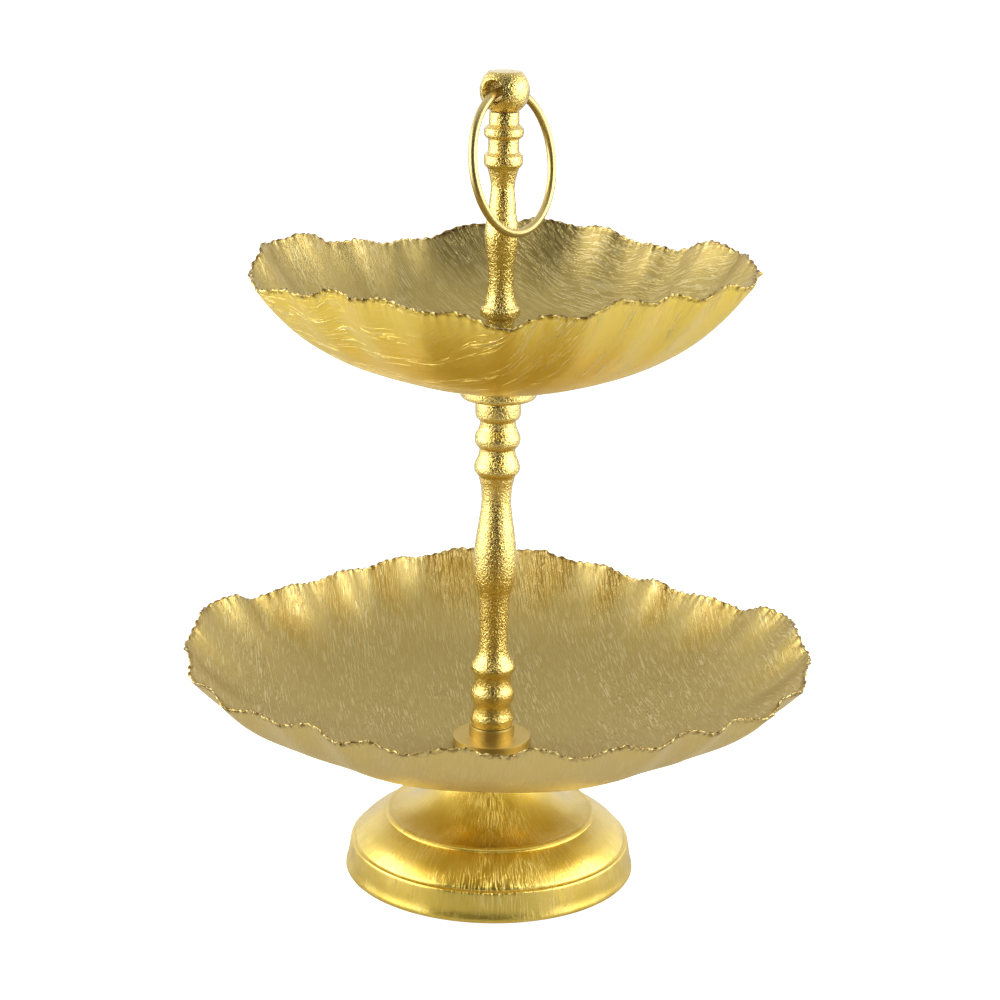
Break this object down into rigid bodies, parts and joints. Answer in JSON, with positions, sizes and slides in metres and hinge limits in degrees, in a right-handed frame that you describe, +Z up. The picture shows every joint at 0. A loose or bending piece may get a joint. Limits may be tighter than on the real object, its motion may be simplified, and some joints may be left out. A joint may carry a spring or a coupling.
{
  "type": "cake stand",
  "caption": "Two-tier serving stand with fluted rounded-square metal trays on a turned centre post, a stepped round foot and a loose carrying ring through the top knob.",
  "frame": {"origin": "on the table under the centre of the foot", "axes": "+Z up along the centre post; the tray corners point along +X, -X, +Y and -Y"},
  "size_m": [0.2987, 0.2986, 0.383],
  "materials": {
    "tray_gold": "satin gold with raised wood-grain lines",
    "foot_gold": "satin gold with brushed-on strokes",
    "post_gold": "semi-gloss gold over a rough cast skin",
    "flange_gold": "satin gold, turned smooth",
    "ring_gold": "satin gold wire",
    "fastener_steel": "zinc-plated steel",
    "pad_rubber": "matt rubber"
  },
  "bodies": {
    "stand": {"foot": "foot_gold", "foot_pad_1": "pad_rubber", "foot_pad_2": "pad_rubber", "foot_pad_3": "pad_rubber", "foot_pad_4": "pad_rubber", "foot_bolt": "fastener_steel", "spring_washer": "fastener_steel", "foot_washer": "fastener_steel", "lower_seal": "pad_rubber", "lower_tray": "tray_gold", "lower_flange": "flange_gold", "lower_post": "post_gold", "upper_flange": "post_gold", "joining_stud": "fastener_steel", "upper_seal": "pad_rubber", "upper_tray": "tray_gold", "top_flange": "flange_gold", "upper_post": "post_gold", "knob_stud": "fastener_steel", "knob": "post_gold"},
    "ring": {"ring_handle": "ring_gold"}
  },
  "joints": [
    {"name": "ring_swing", "type": "hinge", "parent": "stand", "child": "ring", "pos_m": [0, 0, 0.3745], "axis": [-0.5446, -0.8387, 0], "range_deg": [0, 341]}
  ]
}
